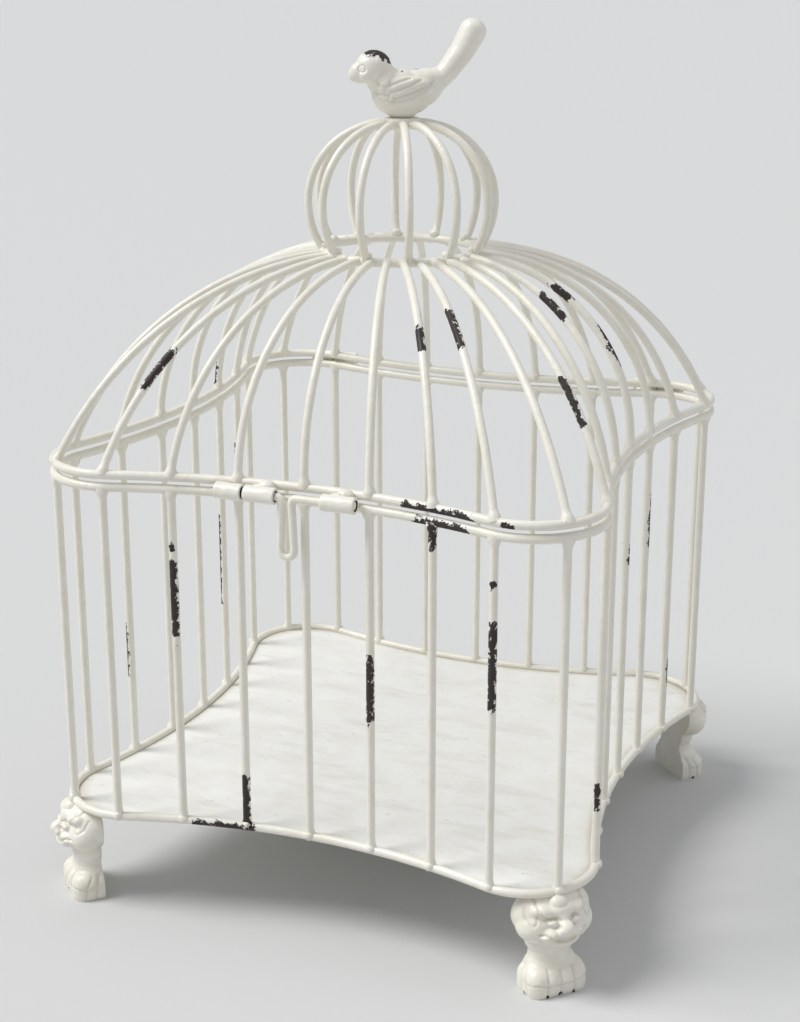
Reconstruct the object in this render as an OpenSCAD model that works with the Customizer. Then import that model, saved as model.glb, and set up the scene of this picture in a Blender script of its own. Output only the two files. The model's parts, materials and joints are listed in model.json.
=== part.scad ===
// Square wire bird cage on four cast feet, with a domed lid that hinges at
// the back and a sliding bolt at the front.
// Origin: centre of the plan, on the floor. +Z is up, the latch faces -Y.

/* [Wire] */
// Diameter of the rings' wire
ring_d = 4.8; // [4.6:0.1:5.2]
// Diameter of the upright bars
bar_d = 4.5; // [4:0.1:4.5]
// Diameter of the roof's and crown's ribs
rib_d = 4.4; // [4:0.1:4.5]

/* [Plan] */
// Distance from the axis to the middle of a side
side_mid = 131.5; // [128:0.5:134]
// Radius of each side's inward curve
side_r = 330; // [300:5:380]
// Radius of each rounded corner
corner_r = 36.2; // [32:0.2:40]
// Bars and ribs in each quarter of the plan
bars_per_side = 8; // [8:8:8]

/* [Heights] */
// Height of the bottom ring above the floor
ring_z = 56; // [54:1:60]
// Height of the cage from ring to ring
cage_h = 186; // [160:2:220]
// Air between the cage's top ring and the lid's ring
ring_gap = 1.8; // [1.6:0.1:2.2]
// Rise of the roof from the lid's ring to the neck ring
roof_rise = 98.4; // [90:0.2:110]

/* [Roof and crown] */
// Radius of the neck ring
neck_r = 42; // [40:0.5:46]
// Slope of the roof ribs where they leave the neck ring
neck_slope = 3; // [0:1:6]
// Number of ribs in the crown
crown_ribs = 12; // [10:1:12]
// Turn of the crown's ribs away from the plan's axes, in degrees
crown_turn = -4; // [-6:1:6]
// Greatest radius of the crown
crown_r = 50.6; // [48:0.2:52]
// Radius at which the crown's ribs meet the hub
crown_top_r = 9.2; // [9.2:0.1:11]
// Rise of the crown from the neck ring to its widest part
crown_low_h = 26.6; // [24:0.2:32]

/* [Floor plate] */
// Thickness of the sheet metal floor
plate_t = 1.2; // [1:0.1:1.6]

/* [Hinges] */
// Outside diameter of a hinge barrel
knuckle_d = 8; // [7.6:0.1:8.4]
// Diameter of a hinge pin
pin_d = 4; // [3.6:0.1:4.2]
// Length of each hinge barrel
knuckle_l = 15; // [13:0.5:16]
// Distance of each hinge from the middle of the back
hinge_x = 108.5; // [106:0.5:110]

/* [Latch] */
// Outside diameter of a latch barrel
barrel_d = 8.6; // [8.2:0.1:9]
// Bore of a latch barrel
barrel_bore = 5.2; // [5:0.1:5.4]
// Diameter of the bolt's wire
bolt_d = 4.2; // [3.8:0.1:4.4]
// How far the bolt slides
bolt_travel = 13.5; // [13:0.1:13.6]

/* [Feet] */
// Width of a foot's mask
mask_w = 44; // [40:1:46]
// Depth of a foot at its snout
mask_depth = 25; // [22:1:27]

/* [Bird] */
// Direction the bird faces, in degrees from +X
bird_turn = 215; // [0:5:355]
// Distance from the beak to the root of the tail
bird_l = 47; // [44:1:50]

/* [Hidden] */
$fn = 48;

paint = [0.90, 0.88, 0.81];
plate_paint = [0.86, 0.86, 0.82];
mesh_fn = 32;

// Plan of the rings: four inward side arcs joined by four outward corner arcs.
side_c = side_mid + side_r;
corner_c = (side_c - sqrt(2 * pow(side_r + corner_r, 2) - side_c * side_c)) / 2;
side_half = atan2(corner_c, side_c - corner_c);
corner_half = 45 + side_half;
side_len = side_r * side_half * PI / 180;
eighth_len = side_len + corner_r * corner_half * PI / 180;
pitch = eighth_len / (bars_per_side / 2);

// Point on the front side's path, s from the side's middle towards the right corner.
function path_point(s) =
    s <= side_len
        ? let (a = s / side_r * 180 / PI)
          [side_r * sin(a), -side_c + side_r * cos(a)]
        : let (a = 90 + side_half - (s - side_len) / corner_r * 180 / PI)
          [corner_c + corner_r * cos(a), -corner_c - corner_r * sin(a)];

function mirrored(p, flip) = flip ? [-p[0], p[1]] : p;
function turned(p, a) = [p[0] * cos(a) - p[1] * sin(a), p[0] * sin(a) + p[1] * cos(a)];

// Bar i of one side: 0 is the middle, +4 the right corner, -4 the left one.
function bar_point(i, side) = turned(mirrored(path_point(abs(i) * pitch), i < 0), side * 90);

top_z = ring_z + cage_h;
lid_z = top_z + ring_d + ring_gap;
neck_z = lid_z + roof_rise;
rib_step = 360 / (4 * bars_per_side);
side_bars = [for (i = [1 - bars_per_side / 2 : bars_per_side / 2 - 1]) i];

// Crown: a quarter circle from the hub down to the widest part, then a flatter arc to the neck.
crown_top_arc = crown_r - crown_top_r;
crown_wide_z = neck_z + crown_low_h;
crown_top_z = crown_wide_z + crown_top_arc;
crown_in = crown_r - neck_r;
crown_low_arc = (crown_low_h * crown_low_h + crown_in * crown_in) / (2 * crown_in);
// A hairline, in degrees, keeps a crown rib's two bends apart as closed solids.
bend_gap = 0.02;
hub_r = crown_top_r + 1.2;
hub_t = 5.2;
// The bird stands clear of the hub on a short round seat.
bird_lift = 2.4;
seat_under_r = 7.5;

// Hinges and latch share one height, midway between the two rings.
joint_z = (top_z + lid_z) / 2;
ring_offset = (lid_z - top_z) / 2;
wall_gap = 0.4;
function stand_off(d) = sqrt(pow((d + ring_d) / 2 + wall_gap, 2) - ring_offset * ring_offset);
hinge_y = corner_c + corner_r + stand_off(knuckle_d);
knuckle_gap = 0.5;
pin_fit = 0.05;
pin_end = 0.8;
cage_bore = pin_d + 2 * pin_fit;
lid_bore = pin_d - 0.02;
hinge_start = hinge_x - knuckle_l - knuckle_gap / 2;
lid_start = hinge_x + knuckle_gap / 2;
// How far a cutting cylinder runs past what it cuts.
cut_end = 1;

// Barrel places along X, from the keeper on the left to the right-hand guide.
keeper_x = -44.5;
keeper_l = 14.6;
guide_left_x = -28.4;
guide_left_l = 16.8;
guide_right_x = 13.6;
guide_right_l = 18;
// The side curves away from the latch, so the barrels stand this much further out.
latch_out = 3;
latch_y = -(side_mid + latch_out + stand_off(barrel_d));
bolt_tip_x = -43;
bolt_end_x = guide_right_x + guide_right_l - 0.6;
// How far past the middle of the gap each weld seat lies, towards its ring.
latch_seat = 1.2;
hinge_seat = 0.3;
loop_r = 3.4;
loop_drop = 31;
bend_r = 2.6;
leg_x = -9;

foot_back = 10;
foot_top = ring_z - 2;

// Round wire along an arc in the XY plane, between two angles.
module arc_wire(radius, from, to, d) {
    rotate([0, 0, from])
        rotate_extrude(angle = to - from)
            translate([radius, 0])
                circle(d = d);
}

// The square ring with inward sides, at height z.
module plan_ring(z, d) {
    translate([0, 0, z])
        for (side = [0 : 3])
            rotate([0, 0, side * 90]) {
                translate([0, -side_c, 0])
                    arc_wire(side_r, 90 - side_half, 90 + side_half, d);
                translate([corner_c, -corner_c, 0])
                    arc_wire(corner_r, -45 - corner_half, -45 + corner_half, d);
            }
}

module bottom_ring() {
    color(paint) plan_ring(ring_z, ring_d);
}

module top_ring() {
    color(paint) plan_ring(top_z, ring_d);
}

module lid_ring() {
    color(paint) plan_ring(lid_z, ring_d);
}

// Sheet floor whose edge is tucked into the bottom ring.
module floor_plate() {
    tuck = ring_d / 2 - 0.8;
    steps = 12;
    quarter = [
        for (k = [-steps : steps - 1])
            let (
                p = path_point(abs(k) / steps * eighth_len),
                near = path_point(max(abs(k) / steps * eighth_len - 0.5, 0)),
                far = path_point(abs(k) / steps * eighth_len + 0.5),
                along = (far - near) / norm(far - near)
            )
            mirrored(p + tuck * [-along[1], along[0]], k < 0)
    ];
    color(plate_paint)
        translate([0, 0, ring_z - 0.6 - plate_t])
            linear_extrude(plate_t)
                polygon([for (side = [0 : 3]) each [for (p = quarter) turned(p, side * 90)]]);
}

// One upright bar between the bottom ring and the cage's top ring.
module upright(p) {
    translate([p[0], p[1], ring_z])
        cylinder(d = bar_d, h = cage_h);
}

module side_upright_set(side) {
    color(paint)
        for (i = side_bars)
            upright(bar_point(i, side));
}

module corner_bars() {
    color(paint)
        for (side = [0 : 3])
            upright(bar_point(bars_per_side / 2, side));
}

// One roof rib: a single arc from its place on the lid ring up to the neck ring.
module roof_rib(i, side) {
    foot = bar_point(i, side);
    head_a = side * 90 - 90 + i * rib_step;
    head = neck_r * [cos(head_a), sin(head_a)];
    reach = norm(foot - head);
    chord = norm([reach, roof_rise]);
    half_turn = atan2(roof_rise, reach) - neck_slope;
    radius = chord / 2 / sin(half_turn);
    heading = atan2(foot[1] - head[1], foot[0] - head[0]);
    translate([head[0], head[1], neck_z])
        rotate([0, 0, heading])
            translate([-radius * sin(neck_slope), 0, -radius * cos(neck_slope)])
                rotate([90, 0, 0])
                    arc_wire(radius, 90 - neck_slope - 2 * half_turn, 90 - neck_slope, rib_d);
}

module roof_rib_set(side) {
    color(paint)
        for (i = side_bars)
            roof_rib(i, side);
}

module roof_ribs_corner() {
    color(paint)
        for (side = [0 : 3])
            roof_rib(bars_per_side / 2, side);
}

module neck_ring() {
    color(paint)
        translate([0, 0, neck_z])
            rotate_extrude()
                translate([neck_r, 0])
                    circle(d = ring_d);
}

module crown_rib() {
    low_turn = asin(crown_low_h / crown_low_arc);
    rotate([90, 0, 0]) {
        translate([crown_top_r, crown_wide_z])
            arc_wire(crown_top_arc, 0, 90, rib_d);
        translate([crown_r - crown_low_arc, crown_wide_z])
            arc_wire(crown_low_arc, -low_turn, -bend_gap, rib_d);
    }
}

module crown_rib_set() {
    color(paint)
        for (k = [0 : crown_ribs - 1])
            rotate([0, 0, crown_turn + k * 360 / crown_ribs])
                crown_rib();
}

module crown_hub() {
    color(paint)
        translate([0, 0, crown_top_z - hub_t / 2 + 0.4])
            cylinder(r = hub_r, h = hub_t);
}

// A blob of the bird's body: a ball at a place in the bird's own frame.
module ball(x, y, z, r) {
    translate([x, y, z])
        sphere(r = r, $fn = mesh_fn);
}

// Cast bird: x runs from tail to beak, z is up from its seat.
module bird_shape() {
    k = bird_l / 47;
    scale(k) {
        // belly, breast and rump
        hull() {
            ball(3, 0, 10.2, 12);
            ball(-8, 0, 14, 9.5);
            ball(-19, 0, 18, 5.5);
        }
        // shoulders and neck
        hull() {
            ball(8, 0, 15, 9.5);
            ball(15.5, 0, 24, 8.8);
        }
        // beak
        hull() {
            ball(23, 0, 21.2, 4.2);
            ball(26.4, 0, 20, 2.6);
        }
        // rump and tail, a thick paddle that stands up behind
        hull() {
            ball(-8, 0, 11, 8);
            for (v = [-1, 1]) {
                ball(-21, 1.5 * v, 17.5, 5.6);
                ball(-35.5, 2.6 * v, 38, 5.4);
                ball(-38.6, 1.6 * v, 43.6, 5.2);
            }
        }
    }
}

module bird_finial() {
    color(paint)
        translate([0, 0, crown_top_z + hub_t / 2 + 0.2]) {
            cylinder(r = seat_under_r, h = bird_lift + 3);
            translate([0, 0, bird_lift])
                rotate([0, 0, bird_turn])
                    bird_shape();
        }
}

// Cast lion foot: x is outwards from its flat back, z is up from the floor.
module foot_shape() {
    half_w = mask_w / 2;
    intersection() {
        union() {
            // paw with four toes and a heel
            hull() {
                for (v = [-0.66, -0.22, 0.22, 0.66])
                    translate([13.5 - 3 * abs(v), v * (half_w - 3), 5.5])
                        sphere(r = 6, $fn = mesh_fn);
                for (v = [-1, 1])
                    translate([2, v * (half_w - 10), 9])
                        sphere(r = 6, $fn = mesh_fn);
                translate([2, 0, 13])
                    sphere(r = 9, $fn = mesh_fn);
            }
            // ankle and chin
            hull() {
                translate([1, 0, 12])
                    cylinder(r = 11, h = 8, $fn = mesh_fn);
                translate([3, 0, 28])
                    sphere(r = 12, $fn = mesh_fn);
            }
            // cheeks, brow and snout
            hull() {
                for (v = [-1, 1]) {
                    translate([1, v * (half_w - 12.5), 38])
                        sphere(r = 11.5, $fn = mesh_fn);
                    translate([2, v * (half_w - 9.5), 45])
                        sphere(r = 9.5, $fn = mesh_fn);
                }
                translate([mask_depth - 7.5, 0, 38])
                    sphere(r = 7.5, $fn = mesh_fn);
            }
        }
        translate([0, -mask_w, 0])
            cube([2 * mask_w, 2 * mask_w, foot_top]);
    }
}

// A foot under the corner bar of a side, facing diagonally outwards.
module corner_foot(side) {
    apex = bar_point(bars_per_side / 2, side);
    color(paint)
        rotate([0, 0, side * 90 - 45])
            translate([norm(apex) - foot_back, 0, 0])
                foot_shape();
}

// A barrel along +X from the origin, with a weld seat towards a ring.
module barrel(d, bore, length, seat_y, seat_z) {
    seat_l = length / 2;
    seat_r = 2.1;
    difference() {
        union() {
            rotate([0, 90, 0])
                cylinder(d = d, h = length);
            translate([(length - seat_l) / 2, seat_y, seat_z])
                rotate([0, 90, 0])
                    cylinder(r = seat_r, h = seat_l);
        }
        translate([-cut_end, 0, 0])
            rotate([0, 90, 0])
                cylinder(d = bore, h = length + 2 * cut_end);
    }
}

// Hinge barrel of one leaf; level is -1 for the cage and +1 for the lid.
module knuckle(x, level, bore) {
    half = stand_off(knuckle_d) / 2;
    color(paint)
        translate([x, hinge_y, joint_z])
            barrel(knuckle_d, bore, knuckle_l, -half - hinge_seat, level * ring_offset / 2);
}

module hinge_pin(x) {
    color(paint)
        translate([x - pin_end, hinge_y, joint_z])
            rotate([0, 90, 0])
                cylinder(d = pin_d, h = 2 * knuckle_l + knuckle_gap + 2 * pin_end);
}

// Latch barrel at a place along the front; level is -1 for the cage and +1 for the lid.
module latch_barrel(x, length, level) {
    half = stand_off(barrel_d) / 2;
    color(paint)
        translate([x, latch_y, joint_z])
            barrel(barrel_d, barrel_bore, length, half + latch_seat, level * ring_offset / 2);
}

// Sliding bolt bent from one wire, with a hanging loop to pull it by.
module latch_bolt() {
    leg_h = loop_drop - bend_r - loop_r;
    far_leg = leg_x + 2 * loop_r;
    color(paint)
        translate([0, latch_y, joint_z]) {
            translate([bolt_tip_x, 0, 0])
                rotate([0, 90, 0])
                    cylinder(d = bolt_d, h = leg_x - bend_r - bolt_tip_x);
            translate([leg_x - bend_r, 0, -bend_r])
                rotate([90, 0, 0])
                    arc_wire(bend_r, 0, 90, bolt_d);
            translate([leg_x, 0, -bend_r - leg_h])
                cylinder(d = bolt_d, h = leg_h);
            translate([leg_x + loop_r, 0, -bend_r - leg_h])
                rotate([90, 0, 0])
                    arc_wire(loop_r, 180, 360, bolt_d);
            translate([far_leg, 0, -bend_r - leg_h])
                cylinder(d = bolt_d, h = leg_h);
            translate([far_leg + bend_r, 0, -bend_r])
                rotate([90, 0, 0])
                    arc_wire(bend_r, 90, 180, bolt_d);
            translate([far_leg + bend_r, 0, 0])
                rotate([0, 90, 0])
                    cylinder(d = bolt_d, h = bolt_end_x - far_leg - bend_r);
        }
}

bottom_ring();
floor_plate();
top_ring();
side_upright_set(0);  // front_bars
side_upright_set(1);  // right_bars
side_upright_set(2);  // back_bars
side_upright_set(3);  // left_bars
corner_bars();
corner_foot(0);  // foot_front_right
corner_foot(1);  // foot_back_right
corner_foot(2);  // foot_back_left
corner_foot(3);  // foot_front_left
knuckle(-hinge_start - knuckle_l, -1, cage_bore);  // cage_knuckle_left
knuckle(hinge_start, -1, cage_bore);  // cage_knuckle_right
latch_barrel(keeper_x, keeper_l, -1);  // latch_keeper
lid_ring();
roof_rib_set(0);  // roof_ribs_front
roof_rib_set(1);  // roof_ribs_right
roof_rib_set(2);  // roof_ribs_back
roof_rib_set(3);  // roof_ribs_left
roof_ribs_corner();
neck_ring();
crown_rib_set();  // crown_ribs
crown_hub();
bird_finial();
knuckle(-lid_start - knuckle_l, 1, lid_bore);  // lid_knuckle_left
knuckle(lid_start, 1, lid_bore);  // lid_knuckle_right
hinge_pin(-lid_start - knuckle_l);  // hinge_pin_left
hinge_pin(hinge_start);  // hinge_pin_right
latch_barrel(guide_left_x, guide_left_l, 1);  // latch_guide_left
latch_barrel(guide_right_x, guide_right_l, 1);  // latch_guide_right
latch_bolt();
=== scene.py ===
# %% [markdown]
# # A painted wire bird cage
# The cage is welded from round rod, stands on four cast lion-mask feet, and has a domed lid on
# two hinges, held by a sliding bolt. Everything is drawn in metres, in the frame of the packed
# model: the origin is on the floor under the middle of the plan, +Z is up, and the bolt is on the
# -Y side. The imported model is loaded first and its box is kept, so that the finished cage can be
# compared with it at the end.

# %% Load the frame
import json
import math

import bmesh
import bpy
from mathutils import Matrix, Vector, noise


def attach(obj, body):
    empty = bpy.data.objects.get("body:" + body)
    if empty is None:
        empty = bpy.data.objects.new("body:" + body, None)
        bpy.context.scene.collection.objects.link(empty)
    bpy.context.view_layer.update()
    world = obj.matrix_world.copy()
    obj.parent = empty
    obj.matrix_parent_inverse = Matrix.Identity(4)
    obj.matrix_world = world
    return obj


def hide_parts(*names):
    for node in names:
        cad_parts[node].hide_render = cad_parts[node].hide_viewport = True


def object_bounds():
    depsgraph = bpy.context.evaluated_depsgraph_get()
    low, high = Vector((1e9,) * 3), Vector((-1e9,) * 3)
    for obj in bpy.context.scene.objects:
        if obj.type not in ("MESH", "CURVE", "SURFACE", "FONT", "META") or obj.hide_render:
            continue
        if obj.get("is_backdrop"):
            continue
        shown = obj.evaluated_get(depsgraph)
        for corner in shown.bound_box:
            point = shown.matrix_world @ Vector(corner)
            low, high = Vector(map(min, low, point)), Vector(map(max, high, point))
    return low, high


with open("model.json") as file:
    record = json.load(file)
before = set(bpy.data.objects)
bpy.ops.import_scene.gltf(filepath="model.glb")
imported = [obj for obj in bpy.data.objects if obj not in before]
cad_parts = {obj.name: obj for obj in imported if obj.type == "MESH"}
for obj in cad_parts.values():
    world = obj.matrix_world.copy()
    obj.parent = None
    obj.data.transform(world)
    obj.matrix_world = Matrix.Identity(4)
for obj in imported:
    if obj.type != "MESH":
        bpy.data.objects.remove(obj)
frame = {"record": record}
cad_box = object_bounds()
print("CAD box", [round(v, 4) for corner in cad_box for v in corner])

# %% [markdown]
# ## Camera
# The camera looks down at the cage from its right front, about a metre away, as a person does who
# stands over it. The direction is given as two angles, and `to_track_quat` turns it into a
# rotation: a camera looks along its own -Z, with +Y up.

# %% Camera
CAMERA_PLACE = Vector((0.3658, -0.9229, 0.5126))
CAMERA_TURN = math.radians(-21.68)
CAMERA_TILT = math.radians(17.6)
CAMERA_LENS = 64.4

look = Vector((
    math.sin(CAMERA_TURN) * math.cos(CAMERA_TILT),
    math.cos(CAMERA_TURN) * math.cos(CAMERA_TILT),
    -math.sin(CAMERA_TILT),
))
camera = bpy.data.objects.new("camera", bpy.data.cameras.new("camera"))
camera.data.sensor_width = 36
camera.data.lens = CAMERA_LENS
camera.location = CAMERA_PLACE
camera.rotation_mode = "QUATERNION"
camera.rotation_quaternion = look.to_track_quat("-Z", "Y")
bpy.context.collection.objects.link(camera)
bpy.context.scene.camera = camera
print("camera looks along", [round(v, 3) for v in look])

# %% [markdown]
# ## Light and floor
# Thick paint shows its shape through soft highlights, so the key light is a wide soft sun above
# and to the left, like a bright sky seen past a wall. A weak sun on the other side and a pale
# world keep the far sides readable. Suns light the whole floor evenly, so it fades nowhere.

# %% Light and floor
def soft_sun(name, place, spread, strength):
    """A sun as wide as spread degrees, that shines from a place towards the middle of the cage."""
    sun = bpy.data.lights.new(name, "SUN")
    sun.angle = math.radians(spread)
    sun.energy = strength
    holder = bpy.data.objects.new(name, sun)
    holder.rotation_euler = (Vector((0, 0, 0.2)) - Vector(place)).to_track_quat("-Z", "Y").to_euler()
    bpy.context.collection.objects.link(holder)
    return holder


soft_sun("key_sun", (-1.05, -0.5, 1.65), 28, 2.45)
soft_sun("fill_sun", (1.2, 0.6, 1.3), 60, 0.35)

world = bpy.data.worlds.new("pale_studio")
world.use_nodes = True
world.node_tree.nodes["Background"].inputs["Color"].default_value = (0.93, 0.95, 1.0, 1)
world.node_tree.nodes["Background"].inputs["Strength"].default_value = 0.48
bpy.context.scene.world = world
bpy.context.scene.view_settings.view_transform = "Standard"

floor_mesh = bpy.data.meshes.new("floor")
bm = bmesh.new()
bmesh.ops.create_grid(bm, x_segments=1, y_segments=1, size=60)
bm.to_mesh(floor_mesh)
bm.free()
floor = bpy.data.objects.new("floor", floor_mesh)
bpy.context.collection.objects.link(floor)
floor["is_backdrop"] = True

floor_paint = bpy.data.materials.new("pale_floor")
floor_paint.use_nodes = True
floor_shader = floor_paint.node_tree.nodes["Principled BSDF"]
floor_shader.inputs["Base Color"].default_value = (0.62, 0.62, 0.61, 1)
floor_shader.inputs["Roughness"].default_value = 0.8
floor_mesh.materials.append(floor_paint)

# %% [markdown]
# ## Plan and heights
# The rings are one shape used three times: four long inward curves joined by four round corners.
# All places on the cage come from a few sizes and from one function that walks along that shape,
# so that bars, ribs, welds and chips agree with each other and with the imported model.

# %% Plan and heights
SIDE_MID = 0.1315
SIDE_R = 0.330
CORNER_R = 0.0362
RING_R = 0.0024
BAR_R = 0.00225
RIB_R = 0.0022
RING_Z = 0.056
TOP_Z = 0.242
LID_Z = 0.2486
NECK_Z = 0.347
NECK_R = 0.0420
NECK_SLOPE = math.radians(3)

SIDE_C = SIDE_MID + SIDE_R
CORNER_C = (SIDE_C - math.sqrt(2 * (SIDE_R + CORNER_R) ** 2 - SIDE_C ** 2)) / 2
SIDE_HALF = math.atan2(CORNER_C, SIDE_C - CORNER_C)
SIDE_LEN = SIDE_R * SIDE_HALF
EIGHTH_LEN = SIDE_LEN + CORNER_R * (math.pi / 4 + SIDE_HALF)
PITCH = EIGHTH_LEN / 4
SIDES = {"front": 0, "right": 1, "back": 2, "left": 3}
SIDE_BARS = range(-3, 4)
CORNER_BAR = 4
ALL_BARS = [*SIDE_BARS, CORNER_BAR]


def quarter_turn(side):
    """The turn that takes the front side to another side."""
    return Matrix.Rotation(side * math.pi / 2, 3, "Z")


def plan_point(way, side=0):
    """A point on the ring's centre line, way metres from the middle of a side."""
    along = abs(way)
    if along <= SIDE_LEN:
        turn = along / SIDE_R
        x = SIDE_R * math.sin(turn)
        y = SIDE_R * math.cos(turn) - SIDE_C
    else:
        turn = math.pi / 2 + SIDE_HALF - (along - SIDE_LEN) / CORNER_R
        x = CORNER_C + CORNER_R * math.cos(turn)
        y = -CORNER_C - CORNER_R * math.sin(turn)
    return quarter_turn(side) @ Vector((math.copysign(x, way), y, 0))


def outward(way, side=0):
    """The level direction that points out of the ring at a place on it."""
    ahead = plan_point(way + 0.0005, side) - plan_point(way - 0.0005, side)
    return Vector((ahead.y, -ahead.x, 0)).normalized()


print("bars are", round(PITCH * 1000, 2), "mm apart along the ring")

# %% [markdown]
# ## Swept wire
# Round rod is a curve with a bevel: the curve gives the path, and each point's radius gives the
# thickness there, so one sweep makes the rod, its swelling at a weld and the uneven coat of paint.
# The curve is turned into a mesh at once, because the chips are painted on its points later.

# %% Swept wire
def round_edges(bm, edges, offset, segments):
    """Round some edges of a mesh."""
    bmesh.ops.bevel(
        bm, geom=edges, offset=offset, segments=segments, profile=0.5, affect="EDGES", material=-1
    )


def uneven(place, size, amount):
    """A factor near 1 that wanders slowly through space, for paint that was laid on by hand."""
    return 1 + amount * noise.noise(Vector(place) / size)


def take_evaluated(bm, holder):
    """Fill a bmesh with an object's shape after its bevel and modifiers, then drop the object."""
    bpy.context.view_layer.update()
    graph = bpy.context.evaluated_depsgraph_get()
    mesh = bpy.data.meshes.new_from_object(holder.evaluated_get(graph))
    bm.clear()
    bm.from_mesh(mesh)
    bpy.data.objects.remove(holder)
    bpy.data.meshes.remove(mesh)


def sweep(runs, closed=False):
    """A mesh of round wires, each along a run of (place, radius) steps."""
    curve = bpy.data.curves.new("wire", "CURVE")
    curve.dimensions = "3D"
    curve.bevel_depth = 1
    curve.bevel_resolution = 3
    curve.use_fill_caps = not closed
    for run in runs:
        spline = curve.splines.new("POLY")
        spline.points.add(len(run) - 1)
        spline.use_cyclic_u = closed
        for point, (place, radius) in zip(spline.points, run):
            point.co = (*place, 1)
            point.radius = radius
    holder = bpy.data.objects.new("wire", curve)
    bpy.context.collection.objects.link(holder)
    bm = bmesh.new()
    take_evaluated(bm, holder)
    return bm


# %% [markdown]
# ## Weld beads
# Each joint on the cage is a blob of weld that was painted over, no two alike. A bead is a small
# ball, stretched along the joint and pushed about by noise. There are over a hundred, so each
# has only a few dozen faces and relies on smooth shading.

# %% Weld beads
def bead(bm, place, size, heading=0.0):
    """Add a lump of weld with half-sizes along, across and up, turned about Z by heading."""
    turn = Matrix.Rotation(heading, 4, "Z")
    made = bmesh.ops.create_icosphere(
        bm,
        subdivisions=2,
        radius=1,
        matrix=Matrix.Translation(place) @ turn @ Matrix.Diagonal((*size, 1)),
    )
    for vert in made["verts"]:
        reach = vert.co - Vector(place)
        vert.co = Vector(place) + reach * uneven(vert.co, 0.002, 0.22)


def ring_heading(way, side):
    """The angle, seen from above, at which the ring runs at a place on it."""
    out = outward(way, side)
    return math.atan2(out.x, -out.y)


# %% [markdown]
# ## Places where the paint has flaked
# A chip is a long patch where the paint is gone. It is described by two end points on a wire's
# surface and a reach, like a capsule. Every point of a mesh then gets one number: 1 on the
# capsule's middle line, 0 at its edge, and -1 well outside. The shader adds noise to that number
# before it cuts, which gives the ragged edge. A plain list of places keeps each chip easy to move.

# %% Chip places
FACE = math.radians(-84)
LEFT_EDGE = math.radians(-150)
RIGHT_EDGE = math.radians(15)
WIDE = 0.0031
NARROW = 0.0019


def surface_run(start, end, facing, radius, reach):
    """A capsule along a wire's surface, on the side that faces a level direction."""
    push = Vector((math.cos(facing), math.sin(facing), 0)) * radius
    return (Vector(start) + push, Vector(end) + push, reach)


def bar_chip(side, number, low, high, facing=FACE, reach=WIDE):
    """A chip on an upright bar between two heights in millimetres."""
    foot = plan_point(number * PITCH, SIDES[side])
    start = foot + Vector((0, 0, low / 1000))
    end = foot + Vector((0, 0, high / 1000))
    return surface_run(start, end, facing, BAR_R, reach)


def ring_chip(height, start_x, end_x, reach=WIDE):
    """A chip along the front of a ring between two distances from the middle, in millimetres."""
    lower = Vector((0, 0, height - RING_R / 2))
    start = plan_point(start_x / 1000) + lower
    end = plan_point(end_x / 1000) + lower
    return surface_run(start, end, FACE, RING_R * 0.8, reach)


def rib_arc(side, number):
    """The one arc of a roof rib: its head, level direction, radius, and first and last turn."""
    foot = plan_point(number * PITCH, side)
    turn = (side - 1) * math.pi / 2 + number * math.pi / 16
    head = NECK_R * Vector((math.cos(turn), math.sin(turn), 0))
    reach = (foot - head).length
    half_turn = math.atan2(NECK_Z - LID_Z, reach) - NECK_SLOPE
    radius = math.hypot(reach, NECK_Z - LID_Z) / 2 / math.sin(half_turn)
    last = math.pi / 2 - NECK_SLOPE
    return head, (foot - head).normalized(), radius, last - 2 * half_turn, last


def arc_place(arc, turn):
    """The place on a rib's arc at a turn."""
    head, out, radius = arc[:3]
    level = radius * (math.cos(turn) - math.sin(NECK_SLOPE))
    height = NECK_Z + radius * (math.sin(turn) - math.cos(NECK_SLOPE))
    return head + out * level + Vector((0, 0, height))


def rib_chip(side, number, low, high, facing=FACE, reach=WIDE):
    """Chips along a roof rib between two rises above the lid's ring, in millimetres."""
    arc = rib_arc(SIDES[side], number)
    capsules = []
    rises = [low + (high - low) * step / 3 for step in range(4)]
    places = []
    for rise in rises:
        sine = (LID_Z + rise / 1000 - NECK_Z) / arc[2] + math.cos(NECK_SLOPE)
        places.append(arc_place(arc, math.asin(min(sine, 1))))
    for start, end in zip(places, places[1:]):
        capsules.append(surface_run(start, end, facing, RIB_R, reach))
    return capsules


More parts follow.
